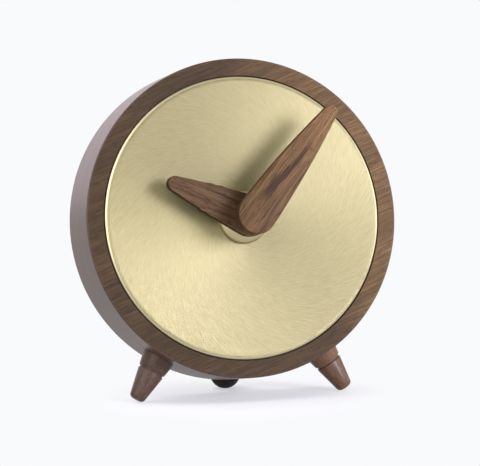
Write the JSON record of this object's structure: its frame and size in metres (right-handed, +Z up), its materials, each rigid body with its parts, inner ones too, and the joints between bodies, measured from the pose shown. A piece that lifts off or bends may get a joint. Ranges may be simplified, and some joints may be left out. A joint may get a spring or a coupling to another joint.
{
  "type": "desk clock",
  "caption": "Round wooden desk clock with a brushed brass dial and tapered wooden hands, leaning back on turned wooden feet, with a battery quartz movement.",
  "frame": {"origin": "on the table, under the middle of the whole clock's box", "axes": "+Z up, the dial faces -Y and leans back towards +Y, +X to the viewer's right"},
  "size_m": [0.1, 0.0492, 0.1061],
  "materials": {
    "walnut_case": "satin lacquered walnut",
    "walnut_foot": "satin lacquered turned walnut",
    "walnut_hand": "satin lacquered walnut",
    "brushed_brass": "swirl brushed",
    "turned_brass": "fine turned",
    "black_rubber": "matt",
    "steel": "zinc plated",
    "magnet": "nickel plated",
    "soft_iron": "plain laminated iron",
    "copper_wire": "enamelled copper wire",
    "black_plastic": "fine grained moulding",
    "knob_plastic": "fine grained moulding",
    "pale_plastic": "natural moulding",
    "wheel_plastic": "natural moulding",
    "board": "solder resist",
    "chip_resin": "gloss resin",
    "crystal_can": "drawn can",
    "cell_jacket": "printed sleeve, no lettering",
    "contact_spring": "nickel plated spring strip"
  },
  "bodies": {
    "case": {"case_body": "walnut_case", "dial": "brushed_brass", "nut_cover": "turned_brass", "centre_bush": "turned_brass", "rubber_washer": "black_rubber", "dial_washer": "turned_brass", "fixing_nut": "turned_brass", "front_foot_left": "walnut_foot", "front_foot_right": "walnut_foot", "rear_foot": "walnut_foot", "foot_studs": "steel", "movement_housing": "black_plastic", "movement_cover": "black_plastic", "middle_plate": "pale_plastic", "stator": "soft_iron", "coil_core": "soft_iron", "coil_bobbin": "pale_plastic", "coil_winding": "copper_wire", "stator_screws": "steel", "circuit_board": "board", "clock_chip": "chip_resin", "quartz_crystal": "crystal_can", "battery": "cell_jacket", "contact_positive": "contact_spring", "contact_negative": "contact_spring"},
    "minute_hand": {"minute_hand": "walnut_hand", "minute_hand_bush": "turned_brass", "minute_arbor": "turned_brass", "centre_wheel": "wheel_plastic"},
    "hour_hand": {"hour_hand": "walnut_hand", "hour_hand_bush": "turned_brass", "hour_wheel": "wheel_plastic"},
    "motion_work": {"motion_wheel": "wheel_plastic"},
    "setting_knob": {"setting_knob": "knob_plastic"},
    "third_wheel": {"third_wheel": "wheel_plastic"},
    "seconds_wheel": {"seconds_wheel": "wheel_plastic"},
    "drive_wheel": {"drive_wheel": "wheel_plastic"},
    "rotor": {"rotor_pinion": "wheel_plastic", "rotor_magnet": "magnet"}
  },
  "joints": [
    {"name": "minute_spin", "type": "hinge", "parent": "case", "child": "minute_hand", "pos_m": [0, -0.02012, 0.05901], "axis": [0, 0.9868, -0.1618], "continuous": true},
    {"name": "hour_spin", "type": "hinge", "parent": "case", "child": "hour_hand", "pos_m": [0, -0.01292, 0.05783], "axis": [0, 0.9868, -0.1618], "continuous": true},
    {"name": "motion_spin", "type": "hinge", "parent": "case", "child": "motion_work", "pos_m": [0.0048, 0.00333, 0.06359], "axis": [0, 0.9868, -0.1618], "continuous": true},
    {"name": "knob_spin", "type": "hinge", "parent": "case", "child": "setting_knob", "pos_m": [0.01495, 0.01656, 0.06516], "axis": [0, 0.9868, -0.1618], "continuous": true},
    {"name": "third_spin", "type": "hinge", "parent": "case", "child": "third_wheel", "pos_m": [-0.00824, 0.00552, 0.05963], "axis": [0, 0.9868, -0.1618], "continuous": true},
    {"name": "seconds_spin", "type": "hinge", "parent": "case", "child": "seconds_wheel", "pos_m": [0, 0.00771, 0.05444], "axis": [0, 0.9868, -0.1618], "continuous": true},
    {"name": "drive_spin", "type": "hinge", "parent": "case", "child": "drive_wheel", "pos_m": [0.00709, 0.00929, 0.05545], "axis": [0, 0.9868, -0.1618], "continuous": true},
    {"name": "rotor_spin", "type": "hinge", "parent": "case", "child": "rotor", "pos_m": [0.01367, 0.00723, 0.05336], "axis": [0, 0.9868, -0.1618], "continuous": true}
  ],
  "couplings": [
    {"joint": "hour_spin", "follows": "minute_spin", "ratio": 0.083333},
    {"joint": "motion_spin", "follows": "minute_spin", "ratio": -0.33333},
    {"joint": "knob_spin", "follows": "minute_spin", "ratio": 0.66667},
    {"joint": "third_spin", "follows": "minute_spin", "ratio": -7.5},
    {"joint": "seconds_spin", "follows": "minute_spin", "ratio": 60},
    {"joint": "drive_spin", "follows": "minute_spin", "ratio": -300},
    {"joint": "rotor_spin", "follows": "minute_spin", "ratio": 1800}
  ]
}
